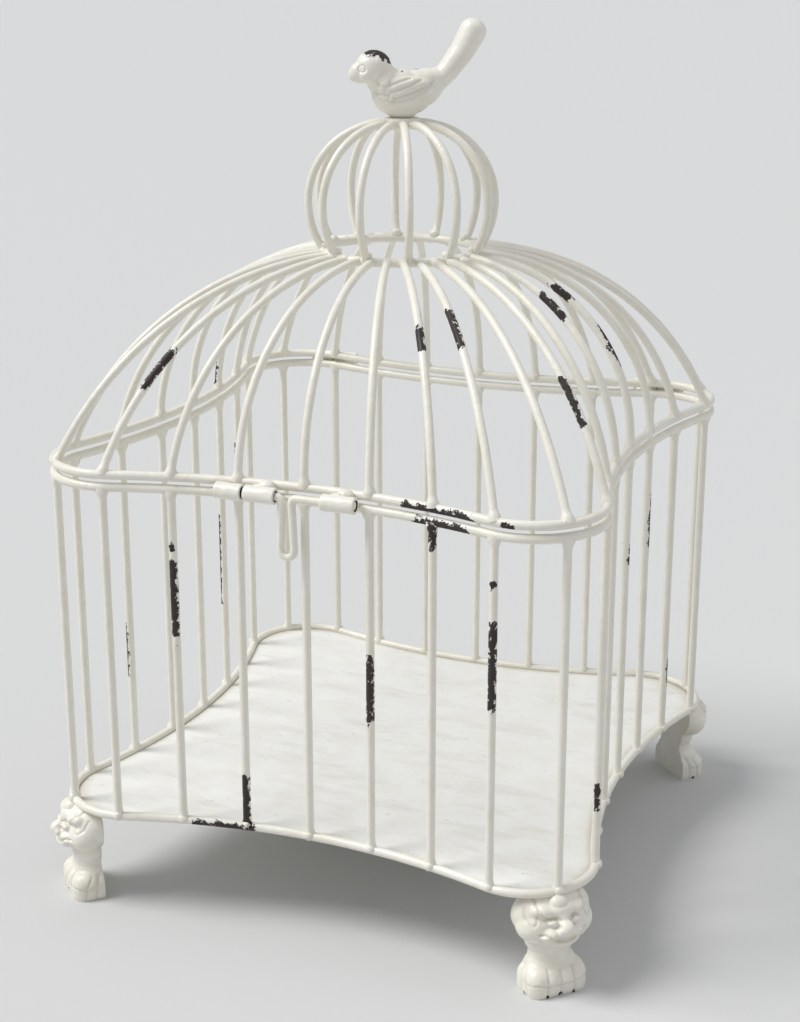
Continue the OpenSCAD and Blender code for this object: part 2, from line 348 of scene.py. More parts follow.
CHIPS = {
    "front_bars": [
        bar_chip("front", -2, 165, 201),
        bar_chip("front", -2, 211, 212, reach=NARROW),
        bar_chip("front", -1, 57, 84),
        bar_chip("front", 1, 130, 163),
        bar_chip("front", 2, 231, 238),
        bar_chip("front", 3, 155, 196),
        bar_chip("front", 3, 217, 218, reach=NARROW),
    ],
    "right_bars": [
        bar_chip("right", -3, 88, 101, reach=NARROW),
        bar_chip("right", 0, 183, 193, RIGHT_EDGE, NARROW),
        bar_chip("right", 1, 180, 212, RIGHT_EDGE, NARROW),
        bar_chip("right", 2, 85, 102, RIGHT_EDGE, NARROW),
    ],
    "left_bars": [
        bar_chip("left", 2, 104, 133, LEFT_EDGE, NARROW),
        bar_chip("left", -1, 112, 169, LEFT_EDGE, NARROW),
        bar_chip("left", -2, 187, 205, LEFT_EDGE, NARROW),
    ],
    "bottom_ring": [ring_chip(RING_Z, -64, -33, 0.0029)],
    "top_ring": [ring_chip(TOP_Z, 63, 91, 0.0027)],
    "lid_ring": [ring_chip(LID_Z, 57, 94, 0.0027), ring_chip(LID_Z, 113, 117, NARROW)],
    "roof_ribs_front": [
        *rib_chip("front", -3, 44, 59),
        *rib_chip("front", 2, 70, 76),
        *rib_chip("front", 3, 72, 84),
    ],
    "roof_ribs_right": [
        *rib_chip("right", 0, 79, 84),
        *rib_chip("right", 0, 46, 63, RIGHT_EDGE, 0.0026),
        *rib_chip("right", -1, 74, 83),
        *rib_chip("right", -3, 37, 55, reach=0.0024),
    ],
    "roof_ribs_left": [*rib_chip("left", -1, 5, 18, LEFT_EDGE, NARROW)],
}
print(sum(len(chips) for chips in CHIPS.values()), "chip capsules on", len(CHIPS), "pieces")

# %% [markdown]
# The number is stored as a float attribute called `chip`, one value for each point of the mesh,
# and the material reads it back by name. An attribute stays with the piece when it moves.

# %% Paint the chip attribute
def gap_to_run(place, start, end):
    """How far a place is from the stretch between two points."""
    along = end - start
    share = (place - start).dot(along) / max(along.length_squared, 1e-12)
    return (place - start - along * min(max(share, 0), 1)).length


def mark_chips(bm, chips):
    """Write the chip attribute: 1 in the middle of a chip, 0 at its edge, -1 on sound paint."""
    layer = bm.verts.layers.float.new("chip")
    for vert in bm.verts:
        depth = -1
        for start, end, reach in chips:
            depth = max(depth, 1 - gap_to_run(vert.co, start, end) / reach)
        vert[layer] = depth

# %% [markdown]
# ## Thick cream paint
# The paint is a thick satin cream that has gone slightly yellow in places. It hides the metal, so
# the finish is not metallic. Three shared effects are node groups: the coat of paint with its
# mottling, brush-laid bumps and painted shade in recesses, the ragged edge of a chip with its pale
# rim painted as a highlight, and the faint stains on the floor plate. Each group has named inputs
# and outputs and puts out only colours, masks and heights.

# %% Helpers for node groups
def new_group(name, inputs, outputs):
    """An empty shader node group with named sockets, and its input and output nodes."""
    group = bpy.data.node_groups.new(name, "ShaderNodeTree")
    for label, kind, value in inputs:
        socket = group.interface.new_socket(label, in_out="INPUT", socket_type="NodeSocket" + kind)
        if value is not None:
            socket.default_value = value
    for label, kind in outputs:
        group.interface.new_socket(label, in_out="OUTPUT", socket_type="NodeSocket" + kind)
    return group, group.nodes.new("NodeGroupInput"), group.nodes.new("NodeGroupOutput")


def new_noise(tree, vector, scale, detail=2.0, roughness=0.5):
    """A noise texture whose scale is in waves per metre."""
    node = tree.nodes.new("ShaderNodeTexNoise")
    node.inputs["Scale"].default_value = scale
    node.inputs["Detail"].default_value = detail
    node.inputs["Roughness"].default_value = roughness
    tree.links.new(vector, node.inputs["Vector"])
    return node.outputs["Fac"]


def new_range(tree, value, low, high, to_low=0.0, to_high=1.0):
    """A number moved from one range to another and held inside it."""
    node = tree.nodes.new("ShaderNodeMapRange")
    node.inputs["From Min"].default_value = low
    node.inputs["From Max"].default_value = high
    node.inputs["To Min"].default_value = to_low
    node.inputs["To Max"].default_value = to_high
    tree.links.new(value, node.inputs["Value"])
    return node.outputs["Result"]


def new_math(tree, kind, first, second):
    """Arithmetic on two numbers, each a socket or a plain value."""
    node = tree.nodes.new("ShaderNodeMath")
    node.operation = kind
    for socket, value in zip(node.inputs, (first, second)):
        if isinstance(value, (int, float)):
            socket.default_value = value
        else:
            tree.links.new(value, socket)
    return node.outputs["Value"]


def new_mix(tree, share, first, second):
    """A blend of two colours, each a socket or a plain colour."""
    node = tree.nodes.new("ShaderNodeMix")
    node.data_type = "RGBA"
    tree.links.new(share, node.inputs["Factor"])
    for label, value in (("A", first), ("B", second)):
        socket = next(s for s in node.inputs if s.name == label and s.type == "RGBA")
        if isinstance(value, tuple):
            socket.default_value = value
        else:
            tree.links.new(value, socket)
    return next(s for s in node.outputs if s.type == "RGBA")


# %% Group: thick paint
PAINT_LIGHT = (0.83, 0.805, 0.722, 1)
PAINT_WARM = (0.75, 0.705, 0.575, 1)
RECESS_SHADE = (0.50, 0.44, 0.32, 1)
SPECK = (0.16, 0.11, 0.07, 1)


def make_thick_paint():
    """Mottled colour, roughness and height of a hand-laid coat of paint, with painted shade in
    recesses.
    """
    group, given, made = new_group(
        "thick_paint",
        [("Place", "Vector", None), ("Light", "Color", PAINT_LIGHT), ("Warm", "Color", PAINT_WARM),
         ("Recess", "Float", 0.0)],
        [("Color", "Color"), ("Roughness", "Float"), ("Height", "Float")],
    )
    place = given.outputs["Place"]
    mottle = new_range(group, new_noise(group, place, 55, 4, 0.6), 0.42, 0.72, 0.0, 0.55)
    coat = new_mix(group, mottle, given.outputs["Light"], given.outputs["Warm"])
    # painted shade: darker, browner paint where the Recess input is high, in grooves and along the
    # plate's rim
    coat = new_mix(group, given.outputs["Recess"], coat, RECESS_SHADE)
    cells = group.nodes.new("ShaderNodeTexVoronoi")
    cells.inputs["Scale"].default_value = 130
    group.links.new(place, cells.inputs["Vector"])
    near = new_range(group, cells.outputs["Distance"], 0.05, 0.035)
    split = group.nodes.new("ShaderNodeSeparateColor")
    group.links.new(cells.outputs["Color"], split.inputs["Color"])
    rare = new_range(group, split.outputs["Red"], 0.86, 0.88)
    speck = new_math(group, "MULTIPLY", near, rare)
    group.links.new(new_mix(group, speck, coat, SPECK), made.inputs["Color"])
    sheen = new_range(group, new_noise(group, place, 140, 3), 0.3, 0.7, 0.30, 0.46)
    group.links.new(sheen, made.inputs["Roughness"])
    waves = new_noise(group, place, 260, 2, 0.4)
    peel = new_noise(group, place, 1500, 2, 0.5)
    height = new_math(group, "ADD", waves, new_math(group, "MULTIPLY", peel, 0.12))
    group.links.new(height, made.inputs["Height"])
    return group


thick_paint = make_thick_paint()
print("thick paint:", len(thick_paint.nodes), "nodes")

# %% Group: flaked edge
def make_flaked_edge():
    """Turns the smooth chip number into a ragged bare patch with a raised pale rim, painted as a
    highlight.
    """
    group, given, made = new_group(
        "flaked_edge",
        [("Place", "Vector", None), ("Depth", "Float", -1.0), ("Ragged", "Float", 1.0)],
        [("Bare", "Float"), ("Rim_Highlight", "Float")],
    )
    rough = new_noise(group, given.outputs["Place"], 300, 6, 0.72)
    push = new_math(group, "MULTIPLY", new_math(group, "SUBTRACT", rough, 0.53), 4.2)
    push = new_math(group, "MULTIPLY", push, given.outputs["Ragged"])
    level = new_math(group, "ADD", given.outputs["Depth"], push)
    bare = new_range(group, level, 0.0, 0.06)
    # the rim: a band just outside the chip, painted pale as a highlight
    around = new_range(group, level, -0.22, -0.12)
    group.links.new(bare, made.inputs["Bare"])
    group.links.new(new_math(group, "SUBTRACT", around, bare), made.inputs["Rim_Highlight"])
    return group


flaked_edge = make_flaked_edge()
print("flaked edge:", len(flaked_edge.nodes), "nodes")

# %% Group: faint stains
def make_faint_stains():
    """Long faint level streaks left by standing water."""
    group, given, made = new_group(
        "faint_stains", [("Place", "Vector", None)], [("Mask", "Float"), ("Drops", "Float")]
    )
    stretch = group.nodes.new("ShaderNodeMapping")
    stretch.inputs["Scale"].default_value = (0.35, 1.3, 1)
    stretch.inputs["Rotation"].default_value = (0, 0, math.radians(-14))
    group.links.new(given.outputs["Place"], stretch.inputs["Vector"])
    streaks = new_noise(group, stretch.outputs["Vector"], 60, 6, 0.66)
    group.links.new(new_range(group, streaks, 0.52, 0.78), made.inputs["Mask"])
    drops = new_noise(group, given.outputs["Place"], 210, 5, 0.7)
    group.links.new(new_range(group, drops, 0.63, 0.72), made.inputs["Drops"])
    return group


faint_stains = make_faint_stains()
print("faint stains:", len(faint_stains.nodes), "nodes")

# %% [markdown]
# ## Painted materials
# Two materials use the groups: one for wire and castings, which reads the chip, recess and bore
# attributes of its piece, and one for the floor plate, which has stains in place of chips and also
# reads the recess attribute. Where that attribute is high, both darken the paint as painted shade.
# Bare metal under a chip is a dark rusted brown, much rougher than the paint; the same colour is
# painted inside the bores of the barrels as painted shade. The step down from paint to metal is a
# bump, so the rim catches the light, and the pale colour of the rim is a painted highlight.

# %% Painted materials
BARE_METAL = (0.014, 0.009, 0.008, 1)
RUST = (0.042, 0.026, 0.020, 1)
RIM_HIGHLIGHT = (0.93, 0.92, 0.88, 1)


def place_group(tree, group, place):
    """A node that runs a group on this material's object coordinates."""
    node = tree.nodes.new("ShaderNodeGroup")
    node.node_tree = group
    tree.links.new(place, node.inputs["Place"])
    return node


def read_attribute(tree, name):
    """The value that a piece stored under a name."""
    node = tree.nodes.new("ShaderNodeAttribute")
    node.attribute_name = name
    return node.outputs["Fac"]


def new_bump(tree, height, distance, strength=1.0):
    """A bump node whose height runs over a distance in metres."""
    node = tree.nodes.new("ShaderNodeBump")
    node.inputs["Distance"].default_value = distance
    node.inputs["Strength"].default_value = strength
    tree.links.new(height, node.inputs["Height"])
    return node


def new_painted_material(name, grain):
    """Thick cream paint with chips, a painted highlight on their rims and painted shade in recesses
    and bores; grain is how far the coat stands up.
    """
    material = bpy.data.materials.new(name)
    material.use_nodes = True
    tree = material.node_tree
    shader = tree.nodes["Principled BSDF"]
    place = tree.nodes.new("ShaderNodeTexCoord").outputs["Object"]
    coat = place_group(tree, thick_paint, place)
    tree.links.new(read_attribute(tree, "recess"), coat.inputs["Recess"])
    flake = place_group(tree, flaked_edge, place)
    tree.links.new(read_attribute(tree, "chip"), flake.inputs["Depth"])
    # bare metal under chips; inside the barrels' bores the same dark colour is painted shade
    bare = new_math(tree, "MAXIMUM", flake.outputs["Bare"], read_attribute(tree, "bore"))
    rim = flake.outputs["Rim_Highlight"]
    metal = new_mix(tree, new_noise(tree, place, 700, 4, 0.7), BARE_METAL, RUST)
    # painted highlight: the pale rim round each chip
    color = new_mix(tree, rim, coat.outputs["Color"], RIM_HIGHLIGHT)
    color = new_mix(tree, bare, color, metal)
    tree.links.new(color, shader.inputs["Base Color"])
    rough = new_math(tree, "ADD", coat.outputs["Roughness"], new_math(tree, "MULTIPLY", bare, 0.35))
    tree.links.new(rough, shader.inputs["Roughness"])
    step = new_bump(tree, new_math(tree, "SUBTRACT", 1.0, bare), 0.00025)
    skin = new_bump(tree, coat.outputs["Height"], grain)
    tree.links.new(skin.outputs["Normal"], step.inputs["Normal"])
    tree.links.new(step.outputs["Normal"], shader.inputs["Normal"])
    shader.inputs["Coat Weight"].default_value = 0.15
    shader.inputs["Coat Roughness"].default_value = 0.25
    return material


def new_plate_material():
    """Paler paint on the floor plate, with faint stains and a few drops."""
    material = bpy.data.materials.new("plate_paint")
    material.use_nodes = True
    tree = material.node_tree
    shader = tree.nodes["Principled BSDF"]
    place = tree.nodes.new("ShaderNodeTexCoord").outputs["Object"]
    coat = place_group(tree, thick_paint, place)
    coat.inputs["Light"].default_value = (0.84, 0.835, 0.80, 1)
    coat.inputs["Warm"].default_value = (0.78, 0.76, 0.69, 1)
    # painted shade along the plate's rim comes in through the recess attribute
    tree.links.new(read_attribute(tree, "recess"), coat.inputs["Recess"])
    stains = place_group(tree, faint_stains, place)
    weak = new_math(tree, "MULTIPLY", stains.outputs["Mask"], 0.40)
    color = new_mix(tree, weak, coat.outputs["Color"], (0.52, 0.49, 0.38, 1))
    weak = new_math(tree, "MULTIPLY", stains.outputs["Drops"], 0.48)
    color = new_mix(tree, weak, color, (0.40, 0.39, 0.31, 1))
    tree.links.new(color, shader.inputs["Base Color"])
    tree.links.new(coat.outputs["Roughness"], shader.inputs["Roughness"])
    skin = new_bump(tree, coat.outputs["Height"], 0.0002)
    tree.links.new(skin.outputs["Normal"], shader.inputs["Normal"])
    return material


wire_paint = new_painted_material("wire_paint", 0.00035)
cast_paint = new_painted_material("cast_paint", 0.0003)
plate_paint = new_plate_material()
print("materials:", wire_paint.name, cast_paint.name, plate_paint.name)

# %% [markdown]
# ## From a mesh to a piece of the cage
# Each visible piece stands for one node of the imported model. It rides on that node's body, takes
# its own paint, and hides the node, whose plain shape stays in the scene.

# %% Finish a piece
record = frame["record"]
BODY_OF = {n: body for body, nodes in record["behaviour"]["bodies"].items() for n in nodes}


def finish_piece(node, bm, paint, crease=None):
    """Make a bmesh the visible piece for a node, and print how large it is."""
    mark_chips(bm, CHIPS.get(node, []))
    for face in bm.faces:
        face.smooth = True
    mesh = bpy.data.meshes.new("painted_" + node)
    bm.to_mesh(mesh)
    bm.free()
    if crease:
        mesh.set_sharp_from_angle(angle=crease)
    mesh.materials.clear()
    mesh.materials.append(paint)
    piece = bpy.data.objects.new("painted_" + node, mesh)
    bpy.context.collection.objects.link(piece)
    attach(piece, BODY_OF[node])
    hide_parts(node)
    mesh.calc_loop_triangles()
    print(node, len(mesh.loop_triangles), "triangles")
    return piece


# %% [markdown]
# ## Rings
# Each ring is one closed sweep along the plan. The two rings of the cage and the ring of the lid
# differ only in height. The weld beads of the bars sit on the outside of the bottom ring, and
# those of the roof ribs on top of the lid's ring.

# %% Rings
RING_STEPS = 96


def ring_run(height):
    """One lap of the plan at a height, as sweep steps."""
    run = []
    for side in range(4):
        for step in range(-RING_STEPS, RING_STEPS):
            place = plan_point(step / RING_STEPS * EIGHTH_LEN, side) + Vector((0, 0, height))
            run.append((place, RING_R * uneven(place, 0.009, 0.04)))
    return run


bm = sweep([ring_run(RING_Z)], closed=True)
for side in range(4):
    for number in ALL_BARS:
        out = outward(number * PITCH, side)
        place = plan_point(number * PITCH, side) + out * 0.0014 + Vector((0, 0, RING_Z + 0.0009))
        bead(bm, place, (0.0030, 0.0024, 0.0027), ring_heading(number * PITCH, side))
finish_piece("bottom_ring", bm, wire_paint)
finish_piece("top_ring", sweep([ring_run(TOP_Z)], closed=True), wire_paint)

bm = sweep([ring_run(LID_Z)], closed=True)
for side in range(4):
    for number in ALL_BARS:
        place = plan_point(number * PITCH, side) + Vector((0, 0, LID_Z + 0.0010))
        bead(bm, place, (0.0042, 0.0026, 0.0024), ring_heading(number * PITCH, side))
finish_piece("lid_ring", bm, wire_paint)

# %% [markdown]
# ## Upright bars
# A bar is a straight sweep whose radius grows into a cone under the top ring and a low collar on
# the bottom ring, where weld was drawn up around it. The cone is squeezed across the ring, so
# that it spreads along the ring but does not stand out from it.

# %% Upright bars
BAR_STEPS = 170
CONE = 0.0044
CONE_SWELL = 0.62
COLLAR = 0.0030
COLLAR_SWELL = 0.25


def bar_radius(height):
    """The bar's radius at a height: a cone at the top, a collar at the foot."""
    cone = min(max((height - (TOP_Z - RING_R - CONE)) / CONE, 0), 1)
    collar = min(max(1 - (height - RING_Z - RING_R) / COLLAR, 0), 1)
    return BAR_R * (1 + CONE_SWELL * cone ** 2 + COLLAR_SWELL * collar ** 2)


def bar_piece(side, number):
    """One upright bar, squeezed across the ring where it widens."""
    foot = plan_point(number * PITCH, side)
    out = outward(number * PITCH, side)
    run = []
    for step in range(BAR_STEPS + 1):
        height = RING_Z + (TOP_Z - RING_Z) * step / BAR_STEPS
        place = foot + Vector((0, 0, height))
        run.append((place, bar_radius(height) * uneven(place, 0.012, 0.035)))
    bm = sweep([run])
    for vert in bm.verts:
        across = (vert.co - foot).dot(out)
        vert.co += out * (min(max(across, -RING_R), RING_R) - across)
    return bm


def join_all(parts):
    """One bmesh from several, each freed once it is added."""
    whole = bmesh.new()
    for part in parts:
        mesh = bpy.data.meshes.new("part")
        part.to_mesh(mesh)
        part.free()
        whole.from_mesh(mesh)
        bpy.data.meshes.remove(mesh)
    return whole


for label, side in SIDES.items():
    bars = join_all([bar_piece(side, number) for number in SIDE_BARS])
    finish_piece(label + "_bars", bars, wire_paint)
bars = join_all([bar_piece(side, CORNER_BAR) for side in range(4)])
finish_piece("corner_bars", bars, wire_paint)

# %% [markdown]
# ## Roof ribs, neck ring and crown
# The roof ribs follow one arc each. Their feet widen on the lid's ring, and their heads run into
# lumps of weld on the neck ring. The crown's ribs stand on the same ring, swell out and close
# over the top, where weld joins them in a thick uneven disc.

# %% Roof ribs
RIB_STEPS = 130
RIB_FOOT = 0.0042
FOOT_SWELL = 0.50
HEAD_SHARE = 0.035
HEAD_SWELL = 0.22


def roof_rib(side, number):
    """Sweep steps of one roof rib, from its foot to its head."""
    arc = rib_arc(side, number)
    first, last = arc[3:]
    run = []
    for step in range(RIB_STEPS + 1):
        place = arc_place(arc, first + (last - first) * step / RIB_STEPS)
        foot = min(max(1 - (place.z - LID_Z - RING_R) / RIB_FOOT, 0), 1)
        head = min(max((step / RIB_STEPS - 1 + HEAD_SHARE) / HEAD_SHARE, 0), 1)
        swell = 1 + FOOT_SWELL * foot ** 2 + HEAD_SWELL * head ** 2
        run.append((place, RIB_R * swell * uneven(place, 0.012, 0.04)))
    return run


for label, side in SIDES.items():
    ribs = sweep([roof_rib(side, number) for number in SIDE_BARS])
    finish_piece("roof_ribs_" + label, ribs, wire_paint)
ribs = sweep([roof_rib(side, CORNER_BAR) for side in range(4)])
finish_piece("roof_ribs_corner", ribs, wire_paint)

# %% Neck ring
def ring_spot(radius, turn, height):
    """A place on a level circle about the cage's axis."""
    return Vector((radius * math.cos(turn), radius * math.sin(turn), height))


neck_run = []
for step in range(180):
    place = ring_spot(NECK_R, step * math.pi / 90, NECK_Z)
    neck_run.append((place, RING_R * uneven(place, 0.007, 0.07)))
bm = sweep([neck_run], closed=True)
for step in range(32):
    turn = step * math.pi / 16
    place = ring_spot(NECK_R + 0.0013, turn, NECK_Z + 0.0005)
    bead(bm, place, (0.0029, 0.0024, 0.0024), turn + math.pi / 2)
finish_piece("neck_ring", bm, wire_paint)

# %% Crown ribs
CROWN_RIBS = 12
CROWN_TURN = -4
CROWN_R = 0.0506
CROWN_TOP_R = 0.0092
CROWN_LOW_H = 0.0266
CROWN_BEND = CROWN_R - CROWN_TOP_R
CROWN_WIDE_Z = NECK_Z + CROWN_LOW_H
CROWN_TOP_Z = CROWN_WIDE_Z + CROWN_BEND
CROWN_IN = CROWN_R - NECK_R
CROWN_LOW_R = (CROWN_LOW_H ** 2 + CROWN_IN ** 2) / (2 * CROWN_IN)


def crown_rib(turn):
    """Sweep steps of one crown rib: a flat bend up from the neck, then a quarter circle."""
    level = Vector((math.cos(turn), math.sin(turn), 0))
    up = Vector((0, 0, 1))
    lean = math.asin(CROWN_LOW_H / CROWN_LOW_R)
    places = []
    for step in range(32):
        bend = -lean * (1 - step / 32)
        reach = CROWN_R - CROWN_LOW_R + CROWN_LOW_R * math.cos(bend)
        places.append(level * reach + up * (CROWN_WIDE_Z + CROWN_LOW_R * math.sin(bend)))
    for step in range(61):
        bend = math.pi / 2 * step / 60
        reach = CROWN_TOP_R + CROWN_BEND * math.cos(bend)
        places.append(level * reach + up * (CROWN_WIDE_Z + CROWN_BEND * math.sin(bend)))
    run = []
    for count, place in enumerate(places):
        foot = max(1 - count / 5, 0)
        run.append((place, RIB_R * (1 + 0.28 * foot) * uneven(place, 0.012, 0.05)))
    return run


turns = [math.radians(360 / CROWN_RIBS * count + CROWN_TURN) for count in range(CROWN_RIBS)]
bm = sweep([crown_rib(turn) for turn in turns])
for turn in turns:
    place = ring_spot(NECK_R, turn, NECK_Z + 0.003)
    bead(bm, place, (0.0030, 0.0027, 0.0024), turn + math.pi / 2)
finish_piece("crown_ribs", bm, wire_paint)

# %% Crown hub
HUB_R = 0.0104
HUB_T = 0.0052
HUB_WELD_R = 0.0098
bm = bmesh.new()
hub_place = Matrix.Translation((0, 0, CROWN_TOP_Z + 0.0004))
bmesh.ops.create_cone(
    bm, cap_ends=True, segments=48, radius1=HUB_R, radius2=HUB_R, depth=HUB_T, matrix=hub_place
)
rims = [edge for edge in bm.edges if abs(edge.verts[0].co.z - edge.verts[1].co.z) < 1e-6]
round_edges(bm, rims, 0.0019, 5)
for turn in turns:
    place = ring_spot(HUB_WELD_R, turn, CROWN_TOP_Z - 0.0004)
    bead(bm, place, (0.0027, 0.0034, 0.0025), turn + math.pi / 2)
finish_piece("crown_hub", bm, wire_paint)

# %% [markdown]
# ## Floor plate
# The floor is thin sheet metal, pressed by hand into the bottom ring, so it is slightly wavy. It
# starts as one line of points from the middle to the rim, which a full spin turns into a fine
# round sheet. Each point is then moved out along its own direction to the plan's rounded square,
# raised or lowered by slow noise, and the sheet is given its thickness.

# %% Floor plate
PLATE_T = 0.0012
PLATE_TOP = 0.0554
PLATE_TUCK = 0.0016
PLATE_RINGS = 48
PLATE_SPOKES = 240


def rim_reach(turn):
    """Distance from the axis to the plate's rim in a direction, found by halving."""
    folded = (turn + math.pi / 4) % (math.pi / 2) - math.pi / 4
    low, high = 0, EIGHTH_LEN
    for _ in range(30):
        middle = (low + high) / 2
        place = plan_point(middle)
        if math.atan2(place.x, -place.y) < abs(folded):
            low = middle
        else:
            high = middle
    return plan_point(low).length - PLATE_TUCK


bm = bmesh.new()
line = [bm.verts.new((step / PLATE_RINGS, 0, 0)) for step in range(PLATE_RINGS + 1)]
edges = [bm.edges.new(pair) for pair in zip(line, line[1:])]
bmesh.ops.spin(
    bm, geom=[*line, *edges], cent=(0, 0, 0), axis=(0, 0, 1), angle=2 * math.pi,
    steps=PLATE_SPOKES, use_merge=True,
)
bmesh.ops.remove_doubles(bm, verts=bm.verts, dist=1e-6)
rim_shade = bm.verts.layers.float.new("recess")
for vert in bm.verts:
    share = vert.co.length
    turn = math.atan2(vert.co.y, vert.co.x) + math.pi / 2
    # painted shade: the paint darkens towards the rim, where the plate meets the ring
    vert[rim_shade] = min(max((share - 0.955) / 0.045, 0), 1) * 0.7
    reach = rim_reach(turn) if share > 0 else 0
    spot = vert.co.normalized() * share * reach if share > 0 else Vector((0, 0, 0))
    wave = noise.noise(spot * 14) * 0.0009 + noise.noise(spot * 45) * 0.0003
    calm = min((1 - share) * 8, 1)
    vert.co = spot + Vector((0, 0, PLATE_TOP + wave * calm))
bmesh.ops.recalc_face_normals(bm, faces=bm.faces)
if sum(face.normal.z for face in bm.faces) < 0:
    bmesh.ops.reverse_faces(bm, faces=bm.faces)
bmesh.ops.solidify(bm, geom=bm.faces[:], thickness=PLATE_T)
finish_piece("floor_plate", bm, plate_paint)

# %% [markdown]
# ## Barrels
# The latch's keeper and guides and the hinges are short pieces of pipe, cut by hand and hammered
# a little out of round. A pipe starts as the outline of its wall and is spun about its own axis.
# Its four sharp edges are then rounded with a bevel, and weld is added where it meets its ring.
# The bore is stored under the name `bore` and drawn in the dark colour of bare metal, as painted
# shade inside the pipe.

# %% Barrel helper
JOINT_Z = 0.2453


def barrel(start_x, length, centre_y, outer, bore, wobble=0.03):
    """A short pipe along +X with rounded ends, in a new bmesh."""
    bm = bmesh.new()
    corners = [(0, bore / 2), (length, bore / 2), (length, outer / 2), (0, outer / 2)]
    verts = [bm.verts.new((x, 0, radius)) for x, radius in corners]
    outline = [bm.edges.new((verts[i], verts[(i + 1) % 4])) for i in range(4)]
    bmesh.ops.spin(
        bm, geom=[*verts, *outline], cent=(0, 0, 0), axis=(1, 0, 0), angle=2 * math.pi,
        steps=40, use_merge=True,
    )
    bmesh.ops.remove_doubles(bm, verts=bm.verts, dist=1e-6)
    bmesh.ops.recalc_face_normals(bm, faces=bm.faces)
    ends = [
        edge for edge in bm.edges
        if abs(edge.verts[0].co.x - edge.verts[1].co.x) < 1e-7
        and abs(edge.verts[0].co.yz.length - edge.verts[1].co.yz.length) < 1e-7
    ]
    round_edges(bm, ends, 0.00055, 4)
    long_edges = [
        edge for edge in bm.edges
        if abs(edge.verts[0].co.x - edge.verts[1].co.x) > length / 2
    ]
    bmesh.ops.subdivide_edges(bm, edges=long_edges, cuts=11)
    # painted shade: the inside of the bore is marked to be drawn dark
    bare = bm.verts.layers.float.new("bore")
    for vert in bm.verts:
        radius = vert.co.yz.length
        vert[bare] = 1 if radius < bore / 2 + 0.0002 else 0
        if radius > (outer + bore) / 4:
            factor = uneven(vert.co + Vector((start_x, 0, 0)), 0.004, wobble)
            vert.co.yz = vert.co.yz * factor
    bmesh.ops.translate(bm, verts=bm.verts, vec=(start_x, centre_y, JOINT_Z))
    return bm


# %% [markdown]
# ## Hinges
# Two hinges hold the lid at the back. Each is two short barrels on one plain pin: one barrel is
# welded to the cage's top ring and one to the lid's ring, so the pin can turn in the cage's
# barrel. A wide weld seat joins each barrel to its ring.

# %% Hinges
HINGE_X = 0.1085
HINGE_Y = 0.155398
KNUCKLE_D = 0.008
KNUCKLE_L = 0.015
KNUCKLE_GAP = 0.0005
PIN_D = 0.004
PIN_END = 0.0008
INNER_X = HINGE_X - KNUCKLE_L - KNUCKLE_GAP / 2
OUTER_X = HINGE_X + KNUCKLE_GAP / 2


def hinge_barrel(node, start_x, level):
    """A hinge barrel with its weld; level is -1 for the cage's leaf and +1 for the lid's."""
    bm = barrel(start_x, KNUCKLE_L, HINGE_Y, KNUCKLE_D, PIN_D + 0.0001)
    for share in (0.32, 0.5, 0.68):
        x = start_x + KNUCKLE_L * share
        bead(bm, Vector((x, HINGE_Y - 0.0034, JOINT_Z + level * 0.0026)), (0.0031, 0.0024, 0.0018))
    finish_piece(node, bm, wire_paint)


hinge_barrel("cage_knuckle_right", INNER_X, -1)
hinge_barrel("cage_knuckle_left", -INNER_X - KNUCKLE_L, -1)
hinge_barrel("lid_knuckle_right", OUTER_X, 1)
hinge_barrel("lid_knuckle_left", -OUTER_X - KNUCKLE_L, 1)


def rod(start_x, length, centre_y, radius):
    """A short rod along +X with rounded ends."""
    bm = bmesh.new()
    place = Matrix.Translation((start_x + length / 2, centre_y, JOINT_Z))
    bmesh.ops.create_cone(
        bm, cap_ends=True, segments=36, radius1=radius, radius2=radius, depth=length,
        matrix=place @ Matrix.Rotation(math.pi / 2, 4, "Y"),
    )
    rims = [edge for edge in bm.edges if abs(edge.verts[0].co.x - edge.verts[1].co.x) < 1e-7]
    round_edges(bm, rims, 0.0005, 3)
    return bm


PIN_L = 2 * KNUCKLE_L + KNUCKLE_GAP + 2 * PIN_END
pin = rod(INNER_X - PIN_END, PIN_L, HINGE_Y, PIN_D / 2)
finish_piece("hinge_pin_right", pin, wire_paint)
pin = rod(-OUTER_X - KNUCKLE_L - PIN_END, PIN_L, HINGE_Y, PIN_D / 2)
finish_piece("hinge_pin_left", pin, wire_paint)

# %% [markdown]
# ## Sliding bolt
# The keeper is welded under the cage's top ring and the two guides hang from the lid's ring, all
# in one line. The bolt is one thin rod bent into a hanging loop between the guides. It slides
# in the guides, and its tip enters the keeper to lock the lid.

# %% Latch barrels
LATCH_Y = -0.140786
LATCH_D = 0.0086
LATCH_BORE = 0.0052


def latch_barrel(node, start_x, length, level):
    """A latch barrel; level is -1 for the keeper under the cage's ring, +1 for a lid guide."""
    bm = barrel(start_x, length, LATCH_Y, LATCH_D, LATCH_BORE, 0.05)
    # a round mound on the ring, then a low seam in the groove between barrel and ring
    mound = Vector((start_x + length * 0.6, LATCH_Y + 0.0045, JOINT_Z + level * 0.0037))
    bead(bm, mound, (0.0044, 0.0034, 0.0030))
    seam = Vector((start_x + length * 0.45, LATCH_Y + 0.0046, JOINT_Z + level * 0.0024))
    bead(bm, seam, (0.0060, 0.0024, 0.0017))
    finish_piece(node, bm, wire_paint)


latch_barrel("latch_keeper", -0.0445, 0.0146, -1)
latch_barrel("latch_guide_left", -0.0284, 0.0168, 1)
latch_barrel("latch_guide_right", 0.0136, 0.018, 1)

